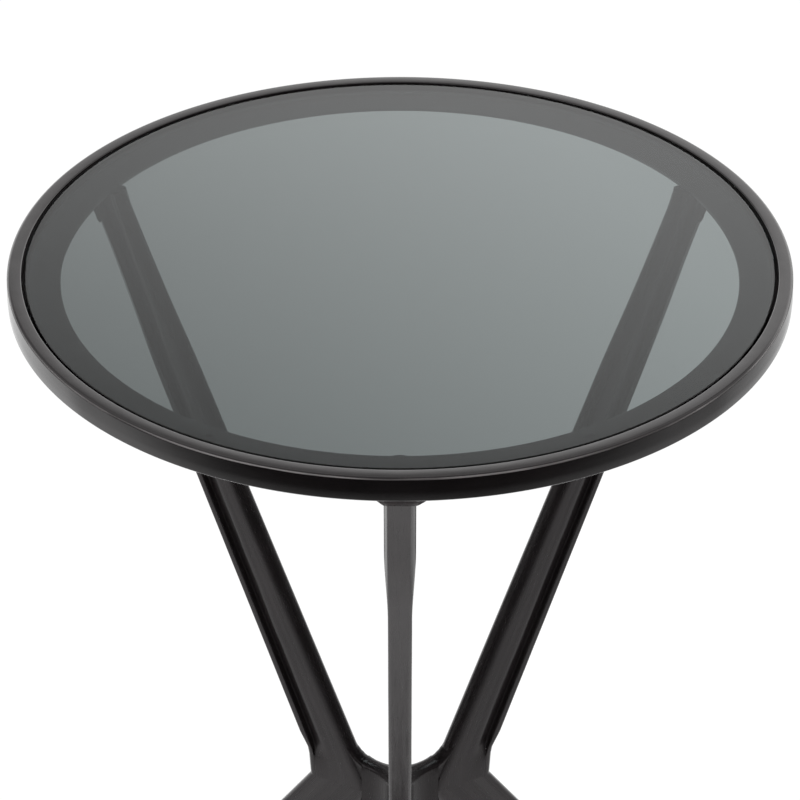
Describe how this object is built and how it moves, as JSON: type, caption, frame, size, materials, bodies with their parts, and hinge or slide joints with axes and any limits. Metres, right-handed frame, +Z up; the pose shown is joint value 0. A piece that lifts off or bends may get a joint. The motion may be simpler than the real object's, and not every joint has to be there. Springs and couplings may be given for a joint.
{
  "type": "accent table",
  "caption": "Round accent table: a smoked glass pane lies in a black metal rim on grooved legs that pinch to a welded waist and splay to the floor.",
  "frame": {"origin": "on the floor, under the middle of the round top", "axes": "+Z up; -Y towards the front leg, the side that the picture is taken from; +X to the picture's right"},
  "size_m": [0.4571, 0.4572, 0.622],
  "materials": {
    "black_paint": "satin black paint on hand-finished cast aluminium",
    "smoked_glass": "polished grey-smoked glass",
    "clear_cushion": "clear soft silicone",
    "black_rubber": "matt black rubber"
  },
  "bodies": {
    "frame": {"top_rim": "black_paint", "waist_hub": "black_paint", "rim_welds": "black_paint", "hub_welds": "black_paint", "upper_leg_front": "black_paint", "upper_leg_right": "black_paint", "upper_leg_left": "black_paint", "lower_leg_front": "black_paint", "lower_leg_right": "black_paint", "lower_leg_left": "black_paint", "glass_bumper_1": "clear_cushion", "glass_bumper_2": "clear_cushion", "glass_bumper_3": "clear_cushion", "glass_bumper_4": "clear_cushion", "glass_bumper_5": "clear_cushion", "glass_bumper_6": "clear_cushion", "foot_pad_front": "black_rubber", "foot_pad_right": "black_rubber", "foot_pad_left": "black_rubber"},
    "glass": {"glass_top": "smoked_glass"}
  },
  "joints": [
    {"name": "glass_lift", "type": "slide", "parent": "frame", "child": "glass", "axis": [0, 0, 1], "range_m": [0, 0.06]}
  ]
}
